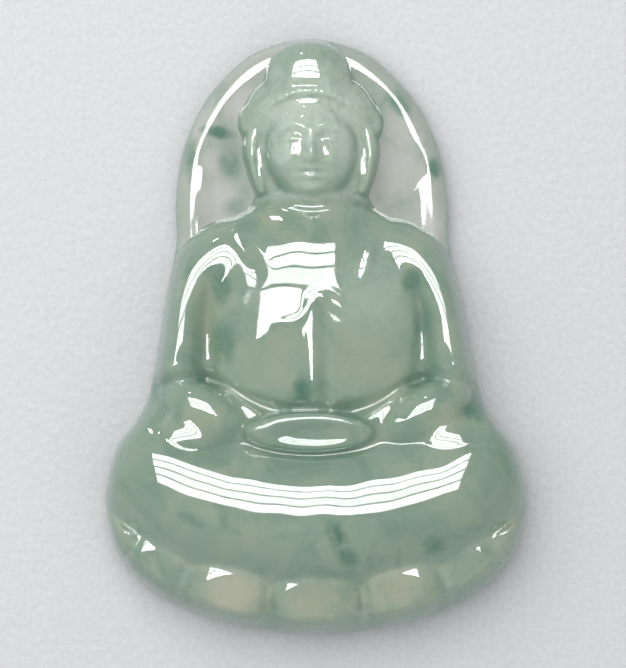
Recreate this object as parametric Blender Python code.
"""Jade plaque: a seated figure on a lotus, carved in relief from one flat-backed stone.

The plaque lies on its flat back. +Z points out of the carved face, +Y towards the head.
The origin is the middle of the back face. Each carved form of the relief is its own
solid, standing on the back plate and kept GAP away from the forms it meets.
"""

import math
from functools import partial

import bmesh
import bpy
import numpy as np
from mathutils import Matrix, Vector

MM = 0.001

# Driving dimensions
LENGTH = 60.0 * MM
WIDTH = 42.6 * MM
THICKNESS = 11.0 * MM
PLATE = 2.4 * MM
GAP = 0.3 * MM
EDGE_ROUND = 0.8 * MM

# Places that more than one form is set out from
HEAD_X = -0.4 * MM
HALO_Y = 13.2 * MM
HALO_HALF_WIDTH = 13.7 * MM
HALO_HEIGHT = LENGTH / 2 - HALO_Y
LOTUS_Y = -14.0 * MM
LOTUS_HALF_WIDTH = WIDTH / 2
LOTUS_DEPTH = LENGTH / 2 + LOTUS_Y
BASE = PLATE + GAP
PETALS_EACH_SIDE = 3

# Outlines and routes, in millimetres. A route is a list of (x, y, radius).
LEFT_SIDE = [(-14.1, 9.8), (-14.6, 4.0), (-15.6, -1.2), (-16.8, -6.6), (-18.6, -8.8), (-20.5, -11.4)]
RIM_INSET = 2.0 * MM
RIM_RADIUS = 1.3
PETAL = (3.9, 3.0, 3.6)
PETAL_STEP = 23.0
HAIR_BAND = [(-3.6, 23.8, 0.8), (-1.6, 24.5, 0.8), (0.8, 24.5, 0.8), (2.8, 23.8, 0.8)]
PLEAT = [(0.0, 2.6, 0.5), (0.0, -1.6, 0.5), (0.0, -5.4, 0.5)]
LEGS = [(-16.4, -15.2, 4.4), (-10.8, -16.6, 5.2), (-5.4, -17.5, 5.5), (0.0, -17.8, 5.6)]
LEGS += [(-x, y, radius) for x, y, radius in reversed(LEGS[:-1])]

# Routes of the forms that come on both sides, for the viewer's right
EAR = [(5.6, 20.0, 1.0), (5.7, 17.4, 0.9), (5.4, 14.8, 0.9)]
COLLAR = [(4.6, 11.6, 0.6), (5.8, 8.4, 0.6), (5.9, 4.4, 0.6)]
SLEEVE = [(8.2, 9.6, 2.4), (11.0, 6.0, 2.9), (12.6, 1.0, 2.9), (13.2, -3.6, 2.9)]
FOREARM = [(13.2, -7.4, 2.0), (9.8, -8.2, 1.9), (7.6, -9.2, 1.6)]
CUFF = [(15.0, -9.9, 1.9), (11.6, -10.8, 1.7), (9.4, -11.6, 1.4)]

# How finely round forms are divided
AROUND = 24
OVER = 12
ROLL_AROUND = 16
ROLL_ALONG = 16
BLUNTNESS = 3.0
END_SHARE = 0.7
ELLIPSE = 2.0
LOTUS_CURVE = 2.3


def clear_scene():
    for obj in list(bpy.data.objects):
        bpy.data.objects.remove(obj)


def collection(name, shown=True):
    made = bpy.data.collections.new(name)
    bpy.context.scene.collection.children.link(made)
    made.hide_render = not shown
    return made


def jade(name, colour, roughness):
    made = bpy.data.materials.new(name)
    made.use_nodes = True
    shader = made.node_tree.nodes["Principled BSDF"]
    shader.inputs["Base Color"].default_value = (*colour, 1.0)
    shader.inputs["Roughness"].default_value = roughness
    shader.inputs["Metallic"].default_value = 0.0
    return made


def mesh_object(name, mesh, location=(0.0, 0.0, 0.0)):
    obj = bpy.data.objects.new(name, mesh)
    obj.location = location
    return obj


def cut_flat(bm, height):
    """Takes away all of a closed bmesh below height, and closes it with a flat face."""
    everything = bm.verts[:] + bm.edges[:] + bm.faces[:]
    bmesh.ops.bisect_plane(
        bm, geom=everything, plane_co=(0, 0, height), plane_no=(0, 0, 1), clear_inner=True
    )
    rim = [edge for edge in bm.edges if edge.is_boundary]
    bmesh.ops.contextual_create(bm, geom=rim)
    bmesh.ops.recalc_face_normals(bm, faces=bm.faces[:])
    if bm.calc_volume(signed=True) < 0:
        bmesh.ops.reverse_faces(bm, faces=bm.faces[:])


def finish_mesh(bm, name):
    mesh = bpy.data.meshes.new(name)
    bm.to_mesh(mesh)
    bm.free()
    mesh.shade_smooth()
    mesh.set_sharp_from_angle(angle=math.radians(50))
    return mesh


def dome(name, grow, at, radii, turn=0.0, base=BASE):
    """Half an ellipsoid on a flat base. Radii are its half length, half width and height."""
    bm = bmesh.new()
    bmesh.ops.create_uvsphere(bm, u_segments=AROUND, v_segments=OVER, radius=1.0)
    size = Matrix.Diagonal(Vector([radius * MM + grow for radius in radii]).to_4d())
    bmesh.ops.transform(bm, matrix=Matrix.Rotation(turn, 4, "Z") @ size, verts=bm.verts[:])
    cut_flat(bm, -grow)
    return mesh_object(name, finish_mesh(bm, name), (at[0] * MM, at[1] * MM, base))


def along_route(route, share, overhang):
    """The place, the sideways direction and the radius at a share of a route's length.

    The route is a list of (x, y, radius) in millimetres, and overhang lengthens both ends.
    """
    xs, ys, radii = (np.array(values, dtype=float) for values in zip(*route))
    steps = np.hypot(np.diff(xs), np.diff(ys))
    lengths = np.concatenate(([0.0], np.cumsum(steps)))
    first_way = np.array((xs[1] - xs[0], ys[1] - ys[0])) / steps[0]
    last_way = np.array((xs[-1] - xs[-2], ys[-1] - ys[-2])) / steps[-1]
    wanted = share * (lengths[-1] + 2 * overhang) - overhang
    held = min(max(wanted, 0.0), lengths[-1])
    place = np.array((np.interp(held, lengths, xs), np.interp(held, lengths, ys)))
    place += (wanted - held) * (first_way if wanted < held else last_way)
    before, after = max(held - 1.0, 0.0), min(held + 1.0, lengths[-1])
    way_x = np.interp(after, lengths, xs) - np.interp(before, lengths, xs)
    way_y = np.interp(after, lengths, ys) - np.interp(before, lengths, ys)
    sideways = np.array((way_y, -way_x)) / math.hypot(way_x, way_y)
    return place, sideways, np.interp(held, lengths, radii)


def roll(name, grow, route, height, base=BASE):
    """A round-ended bar bent along a route, cut flat below. Its widest part has the height."""
    bm = bmesh.new()
    bmesh.ops.create_uvsphere(bm, u_segments=ROLL_AROUND, v_segments=ROLL_ALONG, radius=1.0)
    grown = grow / MM
    widest = max(radius for _, _, radius in route)
    stretch = (height + grown) / (widest + grown)
    for vert in bm.verts:
        along = min(max(vert.co.z, -1.0), 1.0)
        ring = max(math.hypot(vert.co.x, vert.co.y), 1e-6)
        fullness = (1 - abs(along) ** BLUNTNESS) ** (1 / BLUNTNESS) / ring
        place, sideways, radius = along_route(route, (along + 1) / 2, END_SHARE * widest + grown)
        reach = (radius + grown) * fullness
        x, y = place + sideways * reach * vert.co.x
        vert.co = Vector((x, y, vert.co.y * reach * stretch)) * MM
    bmesh.ops.remove_doubles(bm, verts=bm.verts[:], dist=0.00001)
    bmesh.ops.recalc_face_normals(bm, faces=bm.faces[:])
    cut_flat(bm, -grow)
    return mesh_object(name, finish_mesh(bm, name), (0.0, 0.0, base))


def halo_point(degrees, inset=0.0):
    """A point of the ellipse that the halo's edge follows, from the viewer's right."""
    angle = math.radians(degrees)
    x = HEAD_X + (HALO_HALF_WIDTH - inset) * math.cos(angle)
    return x, HALO_Y + (HALO_HEIGHT - inset) * math.sin(angle)


def lotus_point(degrees, inset=0.0):
    """A point of the superellipse that the lotus's edge follows."""
    cos, sin = math.cos(math.radians(degrees)), math.sin(math.radians(degrees))
    power = ELLIPSE / LOTUS_CURVE
    x = (LOTUS_HALF_WIDTH - inset) * math.copysign(abs(cos) ** power, cos)
    return x, LOTUS_Y + (LOTUS_DEPTH - inset) * math.copysign(abs(sin) ** power, sin)


def plate_outline():
    """The stone's outline, anticlockwise: halo, left side, lotus, right side."""
    left = [(x * MM, y * MM) for x, y in LEFT_SIDE]
    right = [(-x, y) for x, y in reversed(left)]
    halo = [halo_point(degrees) for degrees in range(0, 181, 12)]
    lotus = [lotus_point(degrees) for degrees in range(180, 361, 12)]
    return halo + left + lotus + right


def back_plate(name):
    """The flat-backed slab that every form stands on, with a rounded edge."""
    curve = bpy.data.curves.new(name, "CURVE")
    curve.dimensions = "2D"
    curve.fill_mode = "BOTH"
    curve.extrude = PLATE / 2 - EDGE_ROUND
    curve.bevel_depth = EDGE_ROUND
    curve.bevel_resolution = 2
    curve.offset = -EDGE_ROUND
    outline = plate_outline()
    spline = curve.splines.new("POLY")
    spline.points.add(len(outline) - 1)
    for point, (x, y) in zip(spline.points, outline):
        point.co = (x, y, 0.0, 1.0)
    spline.use_cyclic_u = True
    obj = bpy.data.objects.new(name, curve)
    obj.location = (0.0, 0.0, PLATE / 2)
    return obj


def halo_rim(name, grow, first, last):
    """Half of the raised border that runs round the halo, between two angles."""
    route = []
    for degrees in np.linspace(first, last, 9):
        x, y = halo_point(degrees, inset=RIM_INSET)
        route.append((x / MM, y / MM, RIM_RADIUS))
    return roll(name, grow, route, height=1.0)


def mirrored(route):
    return [(-x, y, radius) for x, y, radius in route]


def head(name, grow):
    """The head below the hair, with the ridge of the nose."""
    skull = dome(name, grow, (HEAD_X / MM, 18.2), (4.7, 5.6, 5.4))
    if grow:
        return skull
    ridge = dome(name + "_nose", 0.0, (HEAD_X / MM, 18.0), (0.75, 1.6, 6.2))
    HELPERS.objects.link(ridge)
    ridge.hide_render = True
    ridge.display_type = "WIRE"
    joined = skull.modifiers.new("nose", "BOOLEAN")
    joined.operation = "UNION"
    joined.object = ridge
    return skull


def lotus_petal(name, grow, side, number):
    """One petal of the row below the legs. Number 0 is the middle one."""
    degrees = 270.0 + side * number * PETAL_STEP
    x, y = lotus_point(degrees, inset=3.6 * MM)
    turn = side * math.radians(number * PETAL_STEP)
    return dome(name, grow, (x / MM, y / MM), PETAL, turn=turn)


def listed_forms():
    """Every form: (name, builder, material, the forms that it gives way to)."""
    forms = []

    def form(name, make, material, *gives_way):
        forms.append((name, make, material, gives_way))

    def pair(name, route, height, *gives_way):
        form(name + "_left", partial(roll, route=mirrored(route), height=height), "figure", *gives_way)
        form(name + "_right", partial(roll, route=route, height=height), "figure", *gives_way)

    head_x = HEAD_X / MM
    ears = ("ear_left", "ear_right")
    arms = ("forearm_left", "forearm_right")
    cuffs = ("cuff_left", "cuff_right")
    hands = ("hand_left", "hand_right")
    form("halo_rim_left", partial(halo_rim, first=98, last=196), "halo", "hair_crown", "sleeve_left")
    form("halo_rim_right", partial(halo_rim, first=82, last=-16), "halo", "hair_crown", "sleeve_right")
    form("hair_crown", partial(dome, at=(head_x, 27.0), radii=(4.6, 2.6, 3.9)), "figure", "hair_band")
    form("hair_band", partial(roll, route=HAIR_BAND, height=4.6), "figure", "head")
    form(
        "hair_cap",
        partial(dome, at=(head_x, 21.6), radii=(7.1, 4.0, 3.7)),
        "figure",
        "head",
        "hair_crown",
        "hair_band",
        *ears,
    )
    form("head", head, "figure")
    pair("ear", EAR, 3.6, "head")
    form("neck", partial(dome, at=(head_x, 12.2), radii=(3.9, 1.9, 3.3)), "figure", "head", *ears)
    form(
        "torso",
        partial(dome, at=(0.0, 1.2), radii=(10.2, 9.8, 5.7)),
        "figure",
        "neck",
        "robe_pleat",
        "collar_left",
        "collar_right",
        "sleeve_left",
        "sleeve_right",
        *ears,
        *arms,
        *hands,
    )
    form("robe_pleat", partial(roll, route=PLEAT, height=0.9, base=7.8 * MM), "figure")
    pair("collar", COLLAR, 5.2, "neck", *ears)
    pair("sleeve", SLEEVE, 4.8, *arms, *ears)
    pair("forearm", FOREARM, 6.0, *hands)
    pair("cuff", CUFF, 6.2, *arms, "hand_left", "crossed_legs")
    form("hand_left", partial(dome, at=(-0.3, -9.6), radii=(6.2, 2.0, 6.2)), "figure", "hand_right")
    form("hand_right", partial(dome, at=(-0.3, -9.4), radii=(4.4, 1.2, 2.2), base=7.4 * MM), "figure")
    form(
        "lap_cloth",
        partial(dome, at=(0.0, -10.8), radii=(10.0, 3.4, 5.4)),
        "figure",
        "torso",
        "crossed_legs",
        *hands,
        *arms,
        *cuffs,
    )
    form("crossed_legs", partial(roll, route=LEGS, height=(THICKNESS - BASE) / MM), "figure")
    form("lotus_petal_0", partial(lotus_petal, side=1, number=0), "lotus", "crossed_legs")
    for number in range(1, PETALS_EACH_SIDE + 1):
        inner = number - 1
        for label, side in (("left", -1), ("right", 1)):
            inner_name = f"lotus_petal_{label}_{inner}" if inner else "lotus_petal_0"
            make = partial(lotus_petal, side=side, number=number)
            form(f"lotus_petal_{label}_{number}", make, "lotus", "crossed_legs", inner_name)
    return forms


clear_scene()
PLAQUE = collection("jade_plaque")
HELPERS = collection("cutters", shown=False)
MATERIALS = {
    "figure": jade("jade_figure", (0.27, 0.36, 0.28), 0.08),
    "halo": jade("jade_halo", (0.50, 0.54, 0.49), 0.08),
    "lotus": jade("jade_lotus", (0.31, 0.38, 0.27), 0.08),
}


def build():
    plate = back_plate("back_plate")
    plate.data.materials.append(MATERIALS["halo"])
    PLAQUE.objects.link(plate)
    solids, rooms = {}, {}
    forms = listed_forms()
    for name, make, material, _ in forms:
        solids[name] = make(name, 0.0)
        solids[name].data.materials.append(MATERIALS[material])
        PLAQUE.objects.link(solids[name])
        rooms[name] = make(name + "_room", GAP)
        rooms[name].hide_render = True
        rooms[name].display_type = "WIRE"
        HELPERS.objects.link(rooms[name])
    for name, _, _, gives_way in forms:
        for other in gives_way:
            cut = solids[name].modifiers.new("room_for_" + other, "BOOLEAN")
            cut.operation = "DIFFERENCE"
            cut.object = rooms[other]


build()
